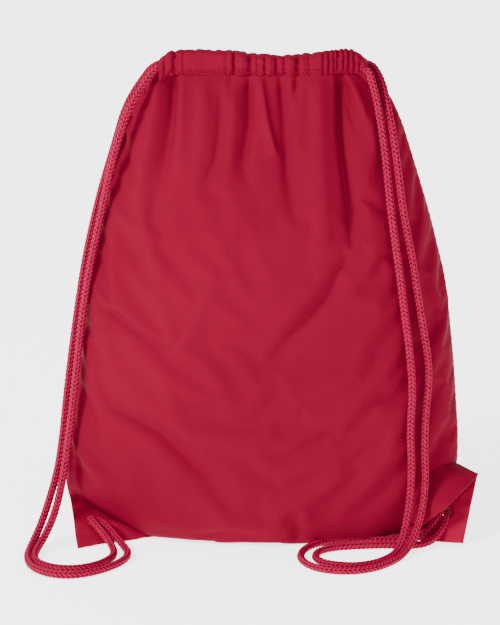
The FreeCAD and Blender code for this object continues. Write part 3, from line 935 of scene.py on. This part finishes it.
def add_hem(side, pleats, top_line, body_row, cloth, thread):
    """A casing in one piece (front) or two halves (back), each with its rows of stitches."""
    word = "front" if side < 0 else "back"
    low, high = HEM_LOW.x, HEM_HIGH.x
    pieces = []
    spans = [("", low, high)] if side < 0 else [("_left", low, 0.0), ("_right", 0.0, high)]
    for suffix, x_low, x_high in spans:
        columns = HEM_COLUMNS if side < 0 else HEM_COLUMNS // 2 + 1
        grid = hem_surface(side, pleats, top_line, body_row, np.linspace(x_low, x_high, columns))
        hem = cloth_sheet(word + "_casing" + suffix, grid, cloth, flip=side > 0)
        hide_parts(word + "_hem")
        face = grid[:HEM_FACE_ROWS, (6 if x_low == low else 0):columns - (6 if x_high == high else 0)]
        lines = []
        for height in STITCH_ROWS:
            z = BODY_HEIGHT + height
            places = [[np.interp(z, column[:, 2], column[:, axis]) for axis in (0, 1)] + [z]
                      for column in face.transpose(1, 0, 2)]
            lines.append([(np.array(place), np.array([0.0, side, 0.0])) for place in places])
        rows = stitches_along(word + "_casing_stitches" + suffix, lines, thread)
        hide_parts(word + "_hem_stitching")
        for piece in (hem, rows):
            if side < 0:
                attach(piece, "pouch")
            else:
                ride_back_half(piece)
        pieces.append([hem, rows])
    return pieces


# ---- corner tabs ----
TAB_CELLS = 46            # cells along each side of a tab's triangular grid
TAB_THICKNESS = 0.0016
HOLE_RADIUS = 0.0046
RING_RADIUS = 0.0056
RING_TURNS = 264          # points round an eyelet's ring, and round its section
RING_SIDES = 14
RING_STITCHES = 44
# Side end of the seam, outer corner and base end of the seam; share of each in the eyelet's place;
# how far the side end runs on inside the body.
TABS = {
    "left": (((-0.1705, -0.008, 0.0295), (-0.158, -0.053, 0.0018), (-0.097, -0.025, 0.0020)),
             (0.428, 0.296, 0.276), (0.004, 0.0, 0.005)),
    "right": (((0.1770, -0.015, 0.0552), (0.1625, -0.044, 0.0018), (0.110, -0.0335, 0.0018)),
              (0.418, 0.217, 0.365), (-0.001, 0.0, 0.0)),
}
BASE_TUCK = 0.006
TAB_SEEDS = {"left": 11.0, "right": 23.0}


def tab_mesh(word, side, outer, base, centre, axes, cloth):
    """The two layers of cloth of a tab with its hole: a triangular grid with soft waves and a crease."""
    normal, seam, outwards = axes
    seed = TAB_SEEDS[word]
    points, inside, index = [], [], {}
    for i in range(TAB_CELLS + 1):
        for j in range(TAB_CELLS + 1 - i):
            a, b = i / TAB_CELLS, j / TAB_CELLS
            c = 1 - a - b
            point = side * a + base * b + outer * c
            wave = noise.noise((point[0] * 38 + seed, point[1] * 38, point[2] * 38)) * 0.0022
            wave += noise.noise((point[0] * 110 + seed, point[1] * 110, 2.0)) * 0.0006
            height = (point - centre) @ normal
            flat = point - centre - normal * height
            radius = np.linalg.norm(flat)
            wave *= smooth_step(0.0075, 0.016, radius)
            crease = (flat @ seam) * 0.5 + (flat @ outwards)
            wave += 0.0012 * math.exp(-(crease / 0.004) ** 2) * float(smooth_step(0.009, 0.018, radius))
            edge = -0.0005 * (1 - float(smooth_step(0.0, 0.035, min(a, b, c))))
            if HOLE_RADIUS * 0.82 < radius < HOLE_RADIUS * 1.16:
                point = centre + flat / radius * HOLE_RADIUS + normal * height
            point = point + normal * (wave + edge)
            point[2] = max(point[2], TAB_THICKNESS + 0.0004)
            index[i, j] = len(points)
            points.append(point)
            flat = point - centre
            inside.append(np.linalg.norm(flat - normal * (flat @ normal)) < HOLE_RADIUS * 1.001)
    faces = []
    for i, j in index:
        for keys in (((i, j), (i + 1, j), (i, j + 1)), ((i + 1, j), (i + 1, j + 1), (i, j + 1))):
            face = [index.get(key) for key in keys]
            if None not in face and not all(inside[corner] for corner in face):
                faces.append(face)
    tab = link_mesh(word + "_tab_cloth", points, faces, cloth)
    if sum(np.array(polygon.normal) * polygon.area for polygon in tab.data.polygons) @ normal < 0:
        tab.data.flip_normals()
    edit_mesh(tab, merge_points)
    give(tab.modifiers.new("thickness", "SOLIDIFY"), thickness=TAB_THICKNESS, offset=-1)
    give(tab.modifiers.new("edges", "BEVEL"), width=0.0005, segments=2, limit_method="ANGLE")
    apply_modifiers(tab)
    return tab


def add_tab(word, cloth, thread):
    """A corner tab with its sewn eyelet and two rows of stitches along the seam."""
    corners, shares, tuck = TABS[word]
    side, outer, base = [np.array(corner) for corner in corners]
    centre = side * shares[0] + outer * shares[1] + base * shares[2]
    normal = unit(np.cross(outer - side, base - side))
    if normal[1] > 0:
        normal = -normal
    seam = unit(base - side)
    outwards = np.cross(normal, seam)
    if outwards @ (outer - side) < 0:
        outwards = -outwards
    base_in = base + unit(base - outer) * BASE_TUCK
    tab = tab_mesh(word, side + np.array(tuck), outer, base_in, centre, (normal, seam, outwards), cloth)
    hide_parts(word + "_corner_tab")
    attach(tab, "pouch")
    ring = eyelet_ring(word, centre, normal, seam, thread)
    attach(ring, "pouch")
    lines = []
    for inset in (0.0035, 0.0055):
        places = [side + (base - side) * share + outwards * inset for share in np.linspace(0.10, 0.88, 60)]
        hits = [tab.ray_cast(Vector(place + normal * 0.02), Vector(-normal)) for place in places]
        lines.append([(np.array(place), normal) for hit, place, _, _ in hits if hit])
    rows = stitches_along(word + "_tab_stitches", lines, thread)
    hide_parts(word + "_tab_stitching")
    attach(rows, "pouch")


def eyelet_ring(word, centre, normal, along, thread):
    """A buttonhole-stitched ring: close radial stitches over the rim of the hole."""
    across = np.cross(normal, along)
    angle = np.linspace(0, 2 * math.pi, RING_TURNS, endpoint=False)[:, None, None]
    turn = np.linspace(0, 2 * math.pi, RING_SIDES, endpoint=False)[None, :, None]
    ridge = 0.5 + 0.5 * np.cos(angle * RING_STITCHES)
    wide = 0.0013 + 0.00016 * ridge
    tall = 0.0012 + 0.00030 * ridge
    outwards = along * np.cos(angle) + across * np.sin(angle)
    points = centre + outwards * (RING_RADIUS + np.cos(turn) * wide)
    points += normal * (np.sin(turn) * tall - TAB_THICKNESS / 2)
    faces = grid_faces(RING_TURNS, RING_SIDES, around=True, ring=True)
    ring = link_mesh(word + "_eyelet_ring", points.reshape(-1, 3), faces, thread)
    edit_mesh(ring, turn_faces_out)
    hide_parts(word + "_eyelet")
    return ring


# The flap of the front that hangs over the right tab: its root on the front as (x, z), its free
# edge, and the line on the tab that its underside comes back to.
FLAP_ROOT = [(0.1572, 0.061), (0.143, 0.067), (0.128, 0.057), (0.116, 0.038), (0.114, 0.014)]
FLAP_EDGE = [(0.176, -0.0185, 0.0545), (0.163, -0.036, 0.0470), (0.150, -0.047, 0.0365),
             (0.1385, -0.047, 0.0270), (0.1275, -0.043, 0.0165)]
FLAP_UNDER = [(0.166, -0.0125, 0.052), (0.140, -0.0145, 0.030), (0.113, -0.0155, 0.0075)]
FLAP_COLUMNS = 60
FLAP_ROWS = 30
UNDER_ROWS = 12
FLAP_ROLL = 0.0011        # how round the free edge is
FLAP_SEED = 5             # vector noise differs from run to run unless it is seeded


def corner_fold(body_points, cloth):
    """The fold of the front that hangs over the right tab."""
    flat = body_points.reshape(-1, 3)
    root_line = spread_line(np.array([(x, 0.0, z) for x, z in FLAP_ROOT]))
    edge_line = spread_line(np.array(FLAP_EDGE))
    back_line = spread_line(np.array(FLAP_UNDER))
    ahead_line = root_line + unit((edge_line - root_line) * (1, 0, 1)) * 0.008
    root_line[:, 1] = body_depth(flat, root_line)
    ahead_line[:, 1] = body_depth(flat, ahead_line)
    leave = unit(ahead_line - root_line)
    root_line[:, 1] += 0.0009
    span = np.linalg.norm(edge_line - root_line, axis=1)[:, None]
    arrive = unit((edge_line - root_line) / span + np.array((0.0, 0.45, -0.35)))
    rows = []
    for v in np.linspace(0, 1, FLAP_ROWS + 1):
        rows.append((2 * v ** 3 - 3 * v ** 2 + 1) * root_line
                    + (v ** 3 - 2 * v ** 2 + v) * span * 0.35 * leave
                    + (3 * v ** 2 - 2 * v ** 3) * edge_line
                    + (v ** 3 - v ** 2) * span * 0.7 * arrive)
    turned = (unit(edge_line - rows[-2]) + unit(back_line - edge_line)) * FLAP_ROLL
    rows.append(edge_line + turned * 0.8)
    for step in range(1, UNDER_ROWS + 1):
        rows.append(edge_line + turned * 0.6 + (back_line - edge_line) * (step / UNDER_ROWS))
    grid = np.stack(rows)
    noise.seed_set(FLAP_SEED)
    for row in range(8, len(grid)):
        for column in range(FLAP_COLUMNS):
            grid[row, column] += noise.noise_vector(Vector(grid[row, column]) * 60) * 0.0007
    grid[..., 2] = np.maximum(grid[..., 2], 0.002)
    fold = cloth_sheet("right_corner_fold", grid, cloth, flip=False)
    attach(fold, "pouch")
    return fold


def body_depth(flat, places):
    """y of the body's front at the x and z of each place, from its nearest points."""
    depth = []
    for place in places:
        away = (flat[:, 0] - place[0]) ** 2 + (flat[:, 2] - place[2]) ** 2
        weight = np.exp(-away / (2 * 0.0022 ** 2))
        depth.append(np.sum(weight * flat[:, 1]) / np.sum(weight))
    return np.array(depth)


def spread_line(points):
    """A smooth line of evenly spaced points through a few given ones."""
    along = run_lengths(points)
    line = points_at(points, along, np.linspace(0, along[-1], FLAP_COLUMNS))
    for _ in range(FLAP_COLUMNS // 4):
        line[1:-1] = line[1:-1] * 0.5 + (line[:-2] + line[2:]) * 0.25
    return line


# ---- knots ----
KNOT_SIZE = 0.0019
KNOT_STRAND = 0.0056      # a strand drawn tight in its knot
TAIL_LENGTH = 0.0165
KNOT_SHIFTS = {"left": (0.0, 0.0, 0.0), "right": (-0.0055, -0.0005, 0.0)}


def add_knot(word, material):
    """An overhand knot tied in the pair of strands, with two cut and melted tails."""
    low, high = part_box(word + "_knot")
    centre = np.array((low + high) / 2)
    centre[1] = low.y + 0.0084
    centre += np.array(KNOT_SHIFTS[word])
    t = np.linspace(0, 2 * math.pi, 160)
    loop = np.stack([np.sin(t) + 2 * np.sin(2 * t), -1.25 * np.sin(3 * t),
                     np.cos(t) - 2 * np.cos(2 * t)], 1) * KNOT_SIZE + centre
    knot = braided_cord(word + "_knot_loop", loop, material, diameter=KNOT_STRAND)
    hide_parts(word + "_knot")
    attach(knot, "pouch")
    pieces = [knot]
    share = np.linspace(0, 1, 20)[:, None]
    for letter, spread in (("a", -0.5), ("b", 0.5)):
        ahead = unit(np.array((spread, 1, 0.12)))
        line = centre + ahead * TAIL_LENGTH * share + np.array((0, 0, -0.0014)) * share ** 2
        tail = braided_cord("%s_knot_tail_%s" % (word, letter), line, material, diameter=KNOT_STRAND)
        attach(tail, "pouch")
        pieces.append(tail)
    return pieces


def main():
    add_camera()
    add_stage()
    nylon = nylon_material("crimson_nylon")
    # A copy of the nylon with its tones 1.5 times lighter: painted light for the up-facing tabs, which
    # this lighting leaves too dark.
    painted_lit_nylon = nylon_material("crimson_nylon_doubled", lightness=1.5)
    braid = cord_material()
    tape = tape_material()
    thread = thread_material()
    for name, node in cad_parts.items():
        node.data.materials.clear()
        node.data.materials.append(tape if name.endswith("_seam_tape") else nylon)
    front_points, back_points, cloths = add_body(nylon)
    casings = add_hem(-1, FRONT_PLEATS, FRONT_TOP, front_points[-1], nylon, thread)
    casings += add_hem(1, BACK_PLEATS, BACK_TOP, back_points[-1], nylon, thread)
    # Both tabs use the nylon that is painted lighter as painted light.
    add_tab("left", painted_lit_nylon, thread)
    add_tab("right", painted_lit_nylon, thread)
    casings[0].append(corner_fold(front_points, nylon))
    knots = {side: add_knot(side, braid) for side in ("left", "right")}
    add_straps(braid)
    add_held_cords(braid)


main()
